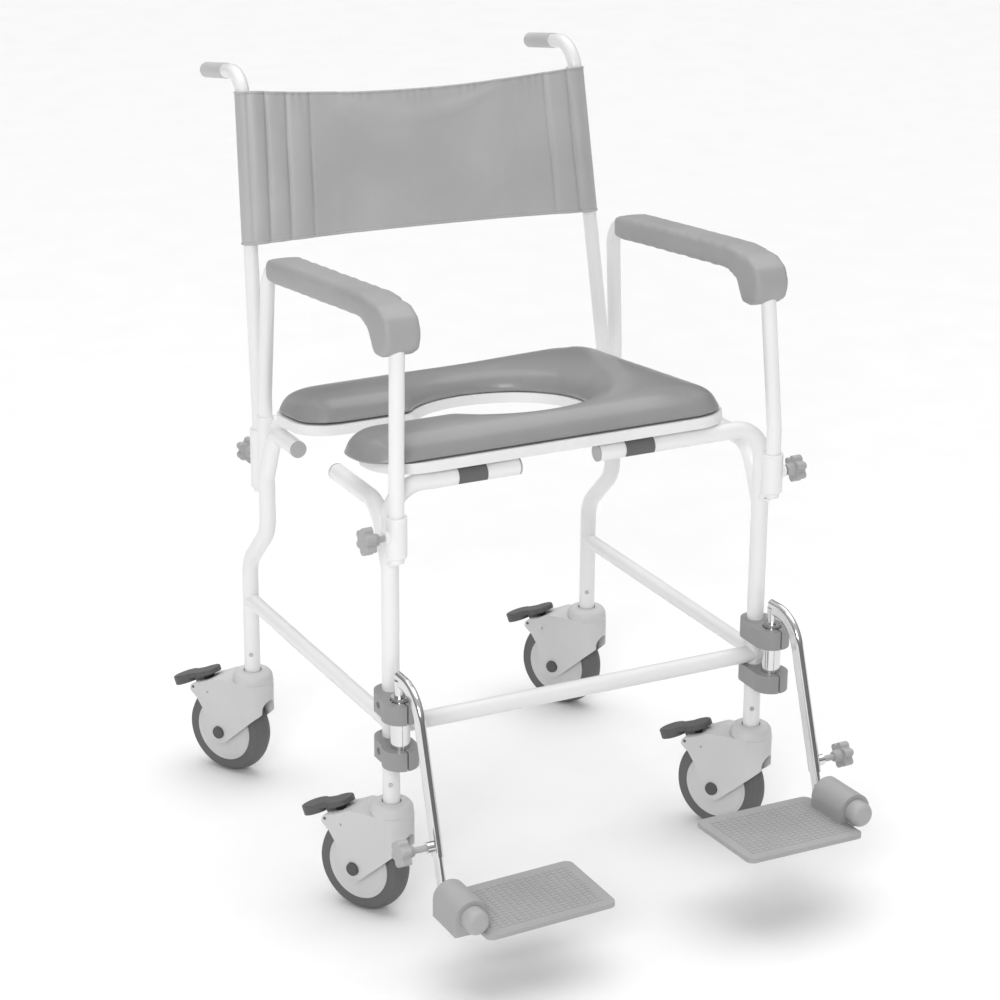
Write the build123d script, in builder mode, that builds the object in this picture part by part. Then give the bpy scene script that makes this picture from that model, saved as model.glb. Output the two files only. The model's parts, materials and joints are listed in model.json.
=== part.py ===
"""Mobile commode chair: welded tube frame on four braked castors, with a lift-off horseshoe seat,
a plug-in sling backrest, plug-in armrests and two swing-away footrests.

Frame: millimetres, +X to the sitter's left, -Y forwards, +Z up, origin on the floor under the
middle of the chair.  "left" and "right" in the names are -X and +X.
"""

from build123d import *
import math
import os

os.makedirs("parts", exist_ok=True)

# ---------------------------------------------------------------- driving dimensions
LEG_X = 261.0            # half the spacing of the legs
FRONT_Y = -175.0         # front legs
REAR_Y = FRONT_Y + 454.0         # rear legs at the castors
REAR_TOP_Y = FRONT_Y + 387.0     # rear legs above their S-bend
TUBE_R = 11.0            # frame tube, outside
TUBE_BORE = 9.6          # frame tube, inside
POST_R = 9.5             # tube of the armrests and the backrest
POST_BORE = 8.0
SLEEVE_R = 13.0          # sockets that hold the posts
SLEEVE_BORE = 9.6
LEG_BOTTOM = 152.0
FRONT_RAIL_Z = 572.0
SIDE_STUB_Z = {"front": 541.0, "rear": 532.0}
REAR_RAIL_Z = 532.0
REAR_LEG_TOP = 545.0
LOWER_BAR_Z = 259.0

WHEEL_R = 62.5
CASTOR_TRAIL = 41.0
CASTOR_TURN = 30.0       # degrees the castors are turned from straight back, towards -X
CASTORS = {
    "front_left": (-LEG_X, FRONT_Y),
    "front_right": (LEG_X, FRONT_Y),
    "rear_left": (-LEG_X, REAR_Y),
    "rear_right": (LEG_X, REAR_Y),
}
SIDES = {"left": -1, "right": 1}

ARM_X = 263.0            # front posts of the armrests
ARM_FRONT_Y = FRONT_Y - 24.0
ARM_TOP_X = 253.0        # the armrests lean inwards above their sockets
ARM_FRONT_TOP = (FRONT_Y - 7.0, 789.0)    # (y, z) of the armrest tube's front corner
ARM_REAR_TOP = (FRONT_Y + 385.0, 751.0)   # and of its rear corner
BACK_X = 260.0
BACK_Y = FRONT_Y + 410.6
BACK_LEAN = 9.65         # degrees
BACK_BEND_Z = 526.0
BACK_TOP_X = 241.5       # the posts close in a little towards the handles
HANDLE_Z = 979.0         # corner of post and handle
HANDLE_DROOP = 9.4       # degrees the handles slope down, rearwards
HANDLE_LENGTH = 126.0    # from that corner
SLING_LOW_Z = 756.0
SLING_HIGH_Z = 948.0

SEAT_TILT = math.degrees(math.atan((FRONT_RAIL_Z - REAR_RAIL_Z) / (REAR_TOP_Y - FRONT_Y)))
SEAT_X = (-268.0, 218.0)          # the seat's ends along X
SEAT_Y = (FRONT_Y - 14.0, FRONT_Y + 374.0)
OPENING_X = -27.0        # centre of the round opening
OPENING_R = 112.0
LOBE_FRONT = 124.0       # width of the front lobe, beside the slot
LOBE_REAR = 148.0

FOOT_X = 265.0           # plane of the footrest hangers
PIVOT_Y = FRONT_Y - 35.0
HANGER_KNEE = (FRONT_Y - 81.0, 335.0)     # (y, z) where the hanger turns down
HANGER_FOOT = (FRONT_Y - 141.0, 146.0)    # (y, z) of the outer tube's lower end
FOOT_AXIS_Z = {"left": 108.0, "right": 127.5}    # height of each footplate's pivot
FOOT_SWING = {"left": 0.0, "right": 3.1}         # degrees each hanger stands swung out at rest
CLAMP_Z = ((223.0, 247.0), (284.0, 309.0))


# ---------------------------------------------------------------- helpers
def save(piece, name, swing=0.0, pivot=Axis.Z):
    """Write a finished sub-part as one STEP file, first turned by swing degrees about pivot."""
    solid = piece.part.rotate(pivot, swing) if swing else piece.part
    solid.label = name
    export_step(solid, f"parts/{name}.step")


def bent_tube(points, bend, outer, bore=0.0):
    """Sweep a round tube along straight runs joined by equal bends, in the active part."""
    with BuildLine() as route:
        if len(points) > 2:
            FilletPolyline(*points, radius=bend)
        else:
            Line(*points)
    with BuildSketch(Plane(origin=route.line @ 0, z_dir=route.line % 0)) as ring:
        Circle(outer)
        if bore:
            Circle(bore, mode=Mode.SUBTRACT)
    sweep(ring.sketch, path=route.line)


def cut_leg(x, y, low, high, radius=TUBE_R):
    """Cope the active part round an upright tube at (x, y)."""
    with BuildSketch(Plane.XY.offset(low)) as upright:
        with Locations((x, y)):
            Circle(radius)
    extrude(upright.sketch, amount=high - low, mode=Mode.SUBTRACT)


def bore_along(origin, direction, radius, length, mode=Mode.SUBTRACT):
    """A round bore (or bar, with Mode.ADD) from origin along direction, in the active part."""
    with BuildSketch(Plane(origin=origin, z_dir=direction)) as mouth:
        Circle(radius)
    extrude(mouth.sketch, amount=length, mode=mode)


# ---------------------------------------------------------------- welded frame
FRONT_BEND = 42.0
STUB_END_X = {"left": -90.0, "right": 22.0}      # inner ends of the two front rail stubs
SCREW_Z = 184.0          # retaining screws of the castors
SCREW_R = 2.5
SCREW_DIR = Vector(-math.sin(math.radians(CASTOR_TURN)), -math.cos(math.radians(CASTOR_TURN)), 0)
REAR_S = ((REAR_Y, 318.0), (REAR_TOP_Y, 383.0))  # (y, z) corners of the rear legs' S-bend

for side, sign in SIDES.items():
    x = sign * LEG_X
    with BuildPart() as front_leg:
        corner = (x, FRONT_Y, FRONT_RAIL_Z)
        bent_tube([(x, FRONT_Y, LEG_BOTTOM), corner, (STUB_END_X[side], FRONT_Y, FRONT_RAIL_Z)],
                  FRONT_BEND, TUBE_R, TUBE_BORE)
        bore_along((x, FRONT_Y, SCREW_Z), SCREW_DIR, SCREW_R + 0.05, 20)
    save(front_leg, f"front_leg_{side}")

    with BuildPart() as rear_leg:
        route = [(x, REAR_Y, LEG_BOTTOM)]
        route += [(x, y, z) for y, z in REAR_S]
        route += [(x, REAR_TOP_Y, REAR_LEG_TOP)]
        bent_tube(route, 45, TUBE_R, TUBE_BORE)
        bore_along((x, REAR_Y, SCREW_Z), SCREW_DIR, SCREW_R + 0.05, 20)
    save(rear_leg, f"rear_leg_{side}")

# Short side tubes: horizontal, then swept down into the leg they are welded to.
STUB_REACH = {"front": 154.0, "rear": -108.0}     # from the leg, along Y
STUB_DROP = 72.0
with BuildPart() as side_stubs:
    for end, leg_y in (("front", FRONT_Y), ("rear", REAR_TOP_Y)):
        z = SIDE_STUB_Z[end]
        toe = leg_y + STUB_REACH[end]
        turn = leg_y + math.copysign(32, STUB_REACH[end])
        for sign in SIDES.values():
            x = sign * LEG_X
            bent_tube([(x, toe, z), (x, turn, z), (x, leg_y, z - STUB_DROP)], 40, TUBE_R, TUBE_BORE)
            cut_leg(x, leg_y, z - STUB_DROP - 20, z + 30)
    # the armrest sockets stand in front of the front legs and clear the stubs
save(side_stubs, "side_stubs")

with BuildPart() as front_crossbar:
    bent_tube([(-LEG_X, FRONT_Y, LOWER_BAR_Z), (LEG_X, FRONT_Y, LOWER_BAR_Z)], 0, TUBE_R, TUBE_BORE)
    for sign in SIDES.values():
        cut_leg(sign * LEG_X, FRONT_Y, LOWER_BAR_Z - 20, LOWER_BAR_Z + 20)
save(front_crossbar, "front_crossbar")

with BuildPart() as side_bars:
    for sign in SIDES.values():
        x = sign * LEG_X
        bent_tube([(x, FRONT_Y, LOWER_BAR_Z + 3), (x, REAR_Y, LOWER_BAR_Z + 3)], 0, 10.0, 8.6)
        for leg_y in (FRONT_Y, REAR_Y):
            cut_leg(x, leg_y, LOWER_BAR_Z - 20, LOWER_BAR_Z + 20)
    bore_along((-LEG_X, FRONT_Y, LOWER_BAR_Z), (1, 0, 0), TUBE_R, 2 * LEG_X)
save(side_bars, "side_bars")

with BuildPart() as rear_crossbar:
    bent_tube([(-LEG_X, REAR_TOP_Y, REAR_RAIL_Z), (LEG_X, REAR_TOP_Y, REAR_RAIL_Z)], 0,
              TUBE_R, TUBE_BORE)
    for sign in SIDES.values():
        cut_leg(sign * LEG_X, REAR_TOP_Y, REAR_RAIL_Z - 20, REAR_RAIL_Z + 20)
save(rear_crossbar, "rear_crossbar")

# Sockets for the armrests' front posts: a sleeve in front of the leg, with a tapered foot.
ARM_SOCKET = (492.0, 542.0)
ARM_KNOB_Z = 517.0
BOSS_R = 8.0
BOSS_REACH = 16.5        # from the socket's axis
STUD_R = 3.95
STUD_BORE = 4.0
with BuildPart() as armrest_sockets:
    for sign in SIDES.values():
        x = sign * ARM_X
        bent_tube([(x, ARM_FRONT_Y, ARM_SOCKET[0]), (x, ARM_FRONT_Y, ARM_SOCKET[1])], 0, SLEEVE_R)
        with BuildSketch(Plane.XY.offset(ARM_SOCKET[0])):
            with Locations((x, ARM_FRONT_Y)):
                Circle(SLEEVE_R)
        with BuildSketch(Plane.XY.offset(ARM_SOCKET[0] - 16)):
            with Locations((sign * (LEG_X + 1), FRONT_Y - 10)):
                Circle(9)
        loft()
        cut_leg(sign * LEG_X, FRONT_Y, ARM_SOCKET[0] - 40, ARM_SOCKET[1] + 5)
        bore_along((x, ARM_FRONT_Y, ARM_KNOB_Z), (sign, 0, 0), BOSS_R, BOSS_REACH, Mode.ADD)
        bore_along((x, ARM_FRONT_Y, ARM_SOCKET[0] - 10), (0, 0, 1), SLEEVE_BORE, 80)
        bore_along((x, ARM_FRONT_Y, ARM_KNOB_Z), (sign, 0, 0), STUD_BORE, BOSS_REACH + 1)
save(armrest_sockets, "armrest_sockets")

# Sockets for the backrest posts: open sleeves behind the rear legs.
BACK_SOCKET = (440.0, 520.0)
BACK_KNOB_Z = 478.0
with BuildPart() as backrest_sockets:
    for sign in SIDES.values():
        x = sign * BACK_X
        bent_tube([(x, BACK_Y, BACK_SOCKET[0]), (x, BACK_Y, BACK_SOCKET[1])], 0, SLEEVE_R)
        with BuildSketch(Plane.XY.offset(BACK_SOCKET[0] + 8)):      # web, welded to the leg
            with Locations((sign * (LEG_X + BACK_X) / 2, (REAR_TOP_Y + BACK_Y) / 2)):
                Rectangle(9, BACK_Y - REAR_TOP_Y)
        extrude(amount=BACK_SOCKET[1] - BACK_SOCKET[0] - 16)
        cut_leg(sign * LEG_X, REAR_TOP_Y, BACK_SOCKET[0] - 5, BACK_SOCKET[1] + 5)
        bore_along((x, BACK_Y, BACK_KNOB_Z), (0, 1, 0), BOSS_R, BOSS_REACH, Mode.ADD)
        bore_along((x, BACK_Y, BACK_SOCKET[0] - 1), (0, 0, 1), SLEEVE_BORE, 90)
        bore_along((x, BACK_Y, BACK_KNOB_Z), (0, 1, 0), STUD_BORE, BOSS_REACH + 1)
save(backrest_sockets, "backrest_sockets")

# Plugs in the six open tube ends.
CAP_PLUG = 12.0
CAP_FACE = 2.5
CAP_ENDS = [((STUB_END_X[side], FRONT_Y, FRONT_RAIL_Z), (-sign, 0, 0)) for side, sign in SIDES.items()]
for end, leg_y in (("front", FRONT_Y), ("rear", REAR_TOP_Y)):
    for sign in SIDES.values():
        direction = math.copysign(1, STUB_REACH[end])
        CAP_ENDS.append(((sign * LEG_X, leg_y + STUB_REACH[end], SIDE_STUB_Z[end]), (0, direction, 0)))
with BuildPart() as stub_end_caps:
    for mouth, outward in CAP_ENDS:
        face = Plane(origin=mouth, z_dir=outward)
        with BuildSketch(face):
            Circle(TUBE_R)
        extrude(amount=CAP_FACE)
        with BuildSketch(face):
            Circle(TUBE_BORE - 0.05)
        extrude(amount=-CAP_PLUG)
save(stub_end_caps, "stub_end_caps")

# Grip bands under the seat, each a clip open at the bottom: two on the front stubs, two on the rear crossbar.
BAND_WALL = 1.5
BANDS = [
    (-173.0, -135.0, FRONT_Y, FRONT_RAIL_Z),
    (57.0, 97.0, FRONT_Y, FRONT_RAIL_Z),
    (-173.0, -135.0, REAR_TOP_Y, REAR_RAIL_Z),
    (57.0, 97.0, REAR_TOP_Y, REAR_RAIL_Z),
]
with BuildPart() as seat_bands:
    for start, stop, y, z in BANDS:
        with BuildSketch(Plane(origin=(start, y, z), z_dir=(1, 0, 0))):
            Circle(TUBE_R + BAND_WALL)
            Circle(TUBE_R, mode=Mode.SUBTRACT)
        extrude(amount=stop - start)
        with BuildSketch(Plane.XY.offset(z - TUBE_R - BAND_WALL)):      # open underneath
            with Locations(((start + stop) / 2, y)):
                Rectangle(stop - start, 4 * TUBE_R)
        extrude(amount=5, mode=Mode.SUBTRACT)
save(seat_bands, "seat_bands")

# Castor stems pushed up the legs, each held by a cross screw.
STEM_R = 9.5
STEM_TOP = 196.0
SWIVEL_R = 6.0
SWIVEL_LOW = 121.0
with BuildPart() as castor_fixings:
    for x, y in CASTORS.values():
        bore_along((x, y, LEG_BOTTOM), (0, 0, 1), STEM_R, STEM_TOP - LEG_BOTTOM, Mode.ADD)
        bore_along((x, y, SWIVEL_LOW), (0, 0, 1), SWIVEL_R, LEG_BOTTOM - SWIVEL_LOW, Mode.ADD)
        centre = Vector(x, y, SCREW_Z)
        bore_along(centre, SCREW_DIR, SCREW_R, TUBE_R + 0.8, Mode.ADD)
        bore_along(centre + SCREW_DIR * TUBE_R, SCREW_DIR, SCREW_R + 0.4, 1.0, Mode.ADD)
save(castor_fixings, "castor_fixings")

# ---------------------------------------------------------------- castors
turn = math.radians(CASTOR_TURN)
TRAIL_DIR = Vector(-math.sin(turn), math.cos(turn), 0)       # from the swivel to the axle
AXLE_DIR = Vector(-math.cos(turn), -math.sin(turn), 0)       # along the axle
FORK_HALF = 27.0
POCKET_HALF = 19.5
POCKET_R = 66.0
COLLAR_R = 27.5
COLLAR_TOP = 158.0
AXLE_R = 4.0
HUB_R = 44.0
TYRE_HALF = 15.5
AXLE_CAP_R = 9.0
ARCH_HALF = 13.0         # opening in the front of the fork
ARCH_TOP = 118.0
PIN = (84.0, 121.0)      # brake pedal's hinge, (along the trail, height)
PIN_R = 2.0
LUG_GAP = 12.0           # half the gap between the lugs that hold the pedal
FORK_OUTLINE = [(-29, 143), (-29, 104), (-22, 97), (29, 51), (34, 47), (48, 47), (56, 55),
                (68, 92), (78, 106), (90, 116), (88, 124), (68, 131), (48, 141), (26, 143)]


def castor_plane(x, y, across=0.0):
    """Plane through a castor's swivel axis: local x along the trail, local y up."""
    origin = Vector(x, y, 0) + AXLE_DIR * across
    return Plane(origin=origin, x_dir=TRAIL_DIR, z_dir=-AXLE_DIR)


def axle_plane(x, y, across=0.0):
    """Plane square to the axle, centred on it."""
    origin = Vector(x, y, WHEEL_R) + TRAIL_DIR * CASTOR_TRAIL + AXLE_DIR * across
    return Plane(origin=origin, x_dir=TRAIL_DIR, z_dir=-AXLE_DIR)


for place, (x, y) in CASTORS.items():
    middle = castor_plane(x, y)

    with BuildPart() as fork:
        with BuildSketch(middle):
            with BuildLine():
                Polyline(*FORK_OUTLINE, close=True)
            make_face()
            fillet(vertices(), 5)
        extrude(amount=FORK_HALF, both=True)
        with BuildSketch(Plane(origin=(x, y, 0), x_dir=TRAIL_DIR, z_dir=(0, 0, 1))):
            Circle(COLLAR_R + 0.8)                     # rounded nose round the swivel
            with Locations((60, 0)):
                Rectangle(120, 2 * FORK_HALF + 2)
        extrude(amount=200, mode=Mode.INTERSECT)
        with BuildSketch(Plane.XY.offset(134)):
            with Locations((x, y)):
                Circle(COLLAR_R)
        extrude(amount=COLLAR_TOP - 134)
        fillet(fork.edges().filter_by(GeomType.CIRCLE).sort_by(Axis.Z)[-1], 10)
        nose = Plane(origin=(x, y, 0), x_dir=AXLE_DIR, z_dir=AXLE_DIR.cross(Vector(0, 0, 1)))
        with BuildSketch(nose):
            with Locations((0, ARCH_TOP - ARCH_HALF)):
                Circle(ARCH_HALF)
            with Locations((0, (ARCH_TOP - ARCH_HALF) / 2)):
                Rectangle(2 * ARCH_HALF, ARCH_TOP - ARCH_HALF)
        extrude(amount=-40 if nose.z_dir.dot(TRAIL_DIR) > 0 else 40, mode=Mode.SUBTRACT)
        with BuildSketch(axle_plane(x, y)):
            Circle(POCKET_R)
        extrude(amount=POCKET_HALF, both=True, mode=Mode.SUBTRACT)
        with BuildSketch(middle):                      # gap between the pedal's lugs
            with BuildLine():
                Polyline((70, 108), (100, 108), (100, 145), (66, 160), (66, 140), close=True)
            make_face()
        extrude(amount=LUG_GAP, both=True, mode=Mode.SUBTRACT)
        bore_along((x, y, SWIVEL_LOW - 1), (0, 0, 1), SWIVEL_R + 0.06, 60)
        bore_along((x, y, LEG_BOTTOM - 0.5), (0, 0, 1), TUBE_R + 1.5, 30)
        with BuildSketch(axle_plane(x, y)):
            Circle(AXLE_R)
        extrude(amount=FORK_HALF + 5, both=True, mode=Mode.SUBTRACT)
        with BuildSketch(middle):
            with Locations(PIN):
                Circle(PIN_R + 0.05)
        extrude(amount=FORK_HALF + 5, both=True, mode=Mode.SUBTRACT)
        for face in (-1, 1):                           # dimples of the brake's rivet
            with BuildSketch(castor_plane(x, y, face * FORK_HALF)):
                with Locations((59, 119)):
                    Circle(1.8)
            extrude(amount=2, both=True, mode=Mode.SUBTRACT)
    save(fork, f"castor_fork_{place}")

    with BuildPart() as tyre:
        ring = Plane(origin=axle_plane(x, y).origin, x_dir=Vector(0, 0, 1), z_dir=TRAIL_DIR)
        with BuildSketch(ring):
            with BuildLine():
                Polyline((HUB_R, -TYRE_HALF + 1), (57, -TYRE_HALF), (57, TYRE_HALF),
                         (HUB_R, TYRE_HALF - 1), close=True)
            make_face()
            with BuildLine():
                ThreePointArc((56, -TYRE_HALF), (WHEEL_R, 0), (56, TYRE_HALF))
                Line((56, TYRE_HALF), (56, -TYRE_HALF))
            make_face()
        revolve(axis=Axis(ring.origin, AXLE_DIR))
    save(tyre, f"castor_tyre_{place}")

    with BuildPart() as hub:
        with BuildSketch(ring):
            with BuildLine():
                Polyline((AXLE_R + 0.05, -17), (12, -17), (16, -14.5), (38, -14.5), (HUB_R, -16),
                         (HUB_R, 16), (38, 14.5), (16, 14.5), (12, 17), (AXLE_R + 0.05, 17),
                         close=True)
            make_face()
        revolve(axis=Axis(ring.origin, AXLE_DIR))
    save(hub, f"castor_hub_{place}")

    with BuildPart() as axle:
        with BuildSketch(axle_plane(x, y)):
            Circle(AXLE_R)
        extrude(amount=FORK_HALF + 0.5, both=True)
        for outward in (-1, 1):
            with BuildSketch(axle_plane(x, y, outward * FORK_HALF)):
                Circle(AXLE_CAP_R)
            extrude(amount=-outward * 3.0, taper=12)
    save(axle, f"castor_axle_{place}")

    # Two-lobed pedal, sloping down and outwards, on an arm between the lugs.
    with BuildPart() as pedal:
        lean = math.radians(22)
        heart = Vector(x, y, 129.5) + TRAIL_DIR * 97.5
        up = TRAIL_DIR * math.sin(lean) + Vector(0, 0, math.cos(lean))
        deck = Plane(origin=heart, x_dir=TRAIL_DIR * math.cos(lean) - Vector(0, 0, math.sin(lean)),
                     z_dir=up)
        with BuildSketch(deck.offset(-4)) as lobes:
            with Locations((-20, 0), (21, 0)):
                Circle(18.5)
            Rectangle(30, 26)
            fillet(lobes.vertices(), 6)
        extrude(amount=7)
        with BuildSketch(deck.offset(-9)):    # the outer lobe is deeper
            with Locations((21, 0)):
                Circle(18.5)
        extrude(amount=9)
        fillet(pedal.faces().sort_by(Axis(heart, up))[-1].edges(), 1.5)
        with BuildSketch(middle):
            with BuildLine():
                Polyline((76, 139), (96, 131), (90.5, 121), (84, 115), (78.5, 119), close=True)
            make_face()
            fillet(vertices(), 2)
        extrude(amount=LUG_GAP - 0.6, both=True)
        with BuildSketch(middle):
            with Locations(PIN):
                Circle(PIN_R)
        extrude(amount=FORK_HALF + 0.4, both=True)
    save(pedal, f"brake_pedal_{place}")


# ---------------------------------------------------------------- star knobs
KNOB_HEAD = 8.5          # head's start and end, from the hub's start
KNOB_END = 22.5
KNOB_LOBES = 6
ARM_KNOB_HUB = {"left": 24.0, "right": 20.0}      # the left one is screwed in less
FOOT_KNOB_HUB = 31.0


def star_knob(origin, outward, hub, name, tip=POST_R + 0.45, swing=0.0, pivot=Axis.Z):
    """Six-lobed clamping knob on a stud: origin on the clamped post's axis, hub = hub's start."""
    start = Vector(*origin)
    direction = Vector(*outward)
    with BuildPart() as knob:
        bore_along(start + direction * tip, outward, STUD_R, hub + 2 - tip, Mode.ADD)
        with BuildSketch(Plane(origin=start + direction * hub, z_dir=outward)):
            Circle(6.5)
        with BuildSketch(Plane(origin=start + direction * (hub + KNOB_HEAD + 1), z_dir=outward)):
            Circle(10)
        loft()
        with BuildSketch(Plane(origin=start + direction * (hub + KNOB_HEAD), z_dir=outward)) as star:
            Circle(12.8)
            with PolarLocations(12.2, KNOB_LOBES):
                Circle(5.2)
            fillet(star.vertices(), 2.2)
        extrude(amount=KNOB_END - KNOB_HEAD)
        rim = knob.faces().filter_by(Plane(origin=start, z_dir=outward)).sort_by(Axis(start, direction))
        fillet(rim[-1].edges(), 3)
    save(knob, name, swing, pivot)


for side, sign in SIDES.items():
    star_knob((sign * ARM_X, ARM_FRONT_Y, ARM_KNOB_Z), (sign, 0, 0), ARM_KNOB_HUB[side],
              f"armrest_knob_{side}")
    star_knob((sign * BACK_X, BACK_Y, BACK_KNOB_Z), (0, 1, 0), 24.0, f"backrest_knob_{side}")

# ---------------------------------------------------------------- armrests
ARM_BEND = 40.0
ARM_FRONT_LOW = ARM_SOCKET[0] - 8
ARM_REAR_LOW = 480.0
ARM_STRAIGHT_Z = 575.0   # the posts are upright up to here
PAD_WIDTH = 44.0
PAD_OUTLINE = [          # side view, (y from the front post, z)
    (17, 737), (3, 746), (-2, 765), (6, 784), (27, 794), (75, 796), (197, 784), (351, 769),
    (379, 763), (379, 744), (349, 743), (197, 759), (79, 771), (50, 762), (35, 737)]


def armrest_route(sign):
    """Corners of an armrest's tube, from its front foot to its rear foot."""
    front_x = sign * ARM_X
    rear_x = sign * LEG_X
    top_x = sign * ARM_TOP_X
    return [(front_x, ARM_FRONT_Y, ARM_FRONT_LOW), (front_x, ARM_FRONT_Y, ARM_STRAIGHT_Z),
            (top_x, *ARM_FRONT_TOP), (top_x, *ARM_REAR_TOP),
            (rear_x, REAR_TOP_Y, ARM_STRAIGHT_Z), (rear_x, REAR_TOP_Y, ARM_REAR_LOW)]


for side, sign in SIDES.items():
    with BuildPart() as armrest_tube:
        bent_tube(armrest_route(sign), ARM_BEND, POST_R, POST_BORE)
    save(armrest_tube, f"armrest_tube_{side}")

    with BuildPart() as armrest_pad:
        pad_plane = Plane(origin=(sign * ARM_TOP_X, ARM_FRONT_Y, 0), x_dir=(0, 1, 0), z_dir=(1, 0, 0))
        with BuildSketch(pad_plane):
            with BuildLine():
                Polyline(*PAD_OUTLINE, close=True)
            make_face()
            fillet(vertices(), 5)
        extrude(amount=PAD_WIDTH / 2, both=True)
        with BuildLine() as hollow:                      # the pad is moulded round its tube
            FilletPolyline(*armrest_route(sign), radius=ARM_BEND)
        with BuildSketch(Plane(origin=hollow.line @ 0, z_dir=hollow.line % 0)):
            Circle(POST_R + 0.02)
        sweep(mode=Mode.SUBTRACT)
    save(armrest_pad, f"armrest_pad_{side}")

# ---------------------------------------------------------------- backrest
lean = math.radians(BACK_LEAN)
droop = math.radians(HANDLE_DROOP)
BACK_UP = Vector(0, math.sin(lean), math.cos(lean))
HANDLE_DIR = Vector(0, math.cos(droop), -math.sin(droop))
GRIP_LENGTH = 71.0
GRIP_R = 10.3


def back_point(sign, z):
    """Point on a backrest post's axis at height z, above the lower bend."""
    rise = (z - BACK_BEND_Z) / (HANDLE_Z - BACK_BEND_Z)
    x = BACK_X + (BACK_TOP_X - BACK_X) * rise
    return Vector(sign * x, BACK_Y + (z - BACK_BEND_Z) * math.tan(lean), z)


for side, sign in SIDES.items():
    foot = (sign * BACK_X, BACK_Y, BACK_SOCKET[0] - 6)
    bend = (sign * BACK_X, BACK_Y, BACK_BEND_Z)
    corner = back_point(sign, HANDLE_Z)
    with BuildPart() as backrest_tube:
        bent_tube([foot, bend, corner, corner + HANDLE_DIR * (HANDLE_LENGTH - 2)], 40, POST_R, POST_BORE)
    save(backrest_tube, f"backrest_tube_{side}")

with BuildPart() as push_handle_grips:
    for sign in SIDES.values():
        start = back_point(sign, HANDLE_Z) + HANDLE_DIR * (HANDLE_LENGTH - GRIP_LENGTH)
        bore_along(start, HANDLE_DIR, GRIP_R, GRIP_LENGTH, Mode.ADD)
        bore_along(start, HANDLE_DIR, POST_R, GRIP_LENGTH - 2)
save(push_handle_grips, "push_handle_grips")

# Sling: a pocket round each post and a gently bowed panel between them.
SLING_WALL = 1.6
SLING_BOW = 14.0
PANEL_HALF = 3.0
sling_ends = [back_point(1, SLING_LOW_Z), back_point(1, SLING_HIGH_Z)]
with BuildPart() as backrest_sling:
    for end in sling_ends:
        with BuildSketch(Plane(origin=(0, end.Y, end.Z), x_dir=(1, 0, 0), z_dir=BACK_UP)):
            with BuildLine():
                half = end.X - 2
                front = -SLING_WALL - POST_R + 1
                back = front + 2 * PANEL_HALF
                ThreePointArc((-half, front), (0, front + SLING_BOW), (half, front))
                Line((half, front), (half, back))
                ThreePointArc((half, back), (0, back + SLING_BOW), (-half, back))
                Line((-half, back), (-half, front))
            make_face()
    loft()
    for sign in SIDES.values():
        for end in sling_ends:
            with BuildSketch(Plane(origin=(sign * end.X, end.Y, end.Z), x_dir=(1, 0, 0), z_dir=BACK_UP)):
                Circle(POST_R + SLING_WALL)
        loft()
    for sign in SIDES.values():
        corner = back_point(sign, HANDLE_Z)
        with BuildLine() as post_line:                  # the pockets follow the posts into their bends
            FilletPolyline(back_point(sign, 700), corner, corner + HANDLE_DIR * 90, radius=40)
        with BuildSketch(Plane(origin=post_line.line @ 0, z_dir=post_line.line % 0)):
            Circle(POST_R + 0.02)
        sweep(mode=Mode.SUBTRACT)
save(backrest_sling, "backrest_sling")

# ---------------------------------------------------------------- seat
PLATE_UNDER = TUBE_R + BAND_WALL + 0.3      # from the rails' axes up to the plate
PLATE_SKIN = 4.0
PLATE_RIM = 13.0
CUSHION_THICK = 34.0
LOBE_OVERHANG = 21.0     # the cushion's front lobe past the plate
tilt = math.radians(SEAT_TILT)
seat_up = Vector(0, math.sin(tilt), math.cos(tilt))
seat_back = Vector(0, math.cos(tilt), -math.sin(tilt))
rail = Vector(0, FRONT_Y, FRONT_RAIL_Z)
SEAT_LENGTH = (SEAT_Y[1] - SEAT_Y[0]) / math.cos(tilt)
seat_plane = Plane(origin=rail + seat_up * PLATE_UNDER - seat_back * (FRONT_Y - SEAT_Y[0]),
                   x_dir=(1, 0, 0), z_dir=seat_up)


def horseshoe(inset):
    """Seat outline in the active sketch: rounded block with a round opening and a side slot."""
    left, right = SEAT_X
    slot_mid = (LOBE_FRONT + SEAT_LENGTH - LOBE_REAR) / 2
    slot_width = SEAT_LENGTH - LOBE_FRONT - LOBE_REAR
    middle = ((left + right) / 2, SEAT_LENGTH / 2)
    with Locations(middle):
        RectangleRounded(right - left - 2 * inset, SEAT_LENGTH - 2 * inset, 58 - inset)
    with Locations((OPENING_X, slot_mid)):
        Circle(OPENING_R + inset, mode=Mode.SUBTRACT)
    with Locations(((left + OPENING_X) / 2 - 20, slot_mid)):
        Rectangle(OPENING_X - left + 40, slot_width + 2 * inset, mode=Mode.SUBTRACT)


with BuildPart() as seat_plate:
    with BuildSketch(seat_plane) as plate_outline:
        horseshoe(0)
        fillet(plate_outline.vertices().group_by(Axis.X)[0].sort_by(Axis.Y)[1:3], 50)
    extrude(amount=PLATE_RIM)
    with BuildSketch(seat_plane) as inside:
        horseshoe(6)
        fillet(inside.vertices().group_by(Axis.X)[0].sort_by(Axis.Y)[1:3], 44)
    extrude(amount=PLATE_RIM - PLATE_SKIN, mode=Mode.SUBTRACT)
save(seat_plate, "seat_plate")

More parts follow.
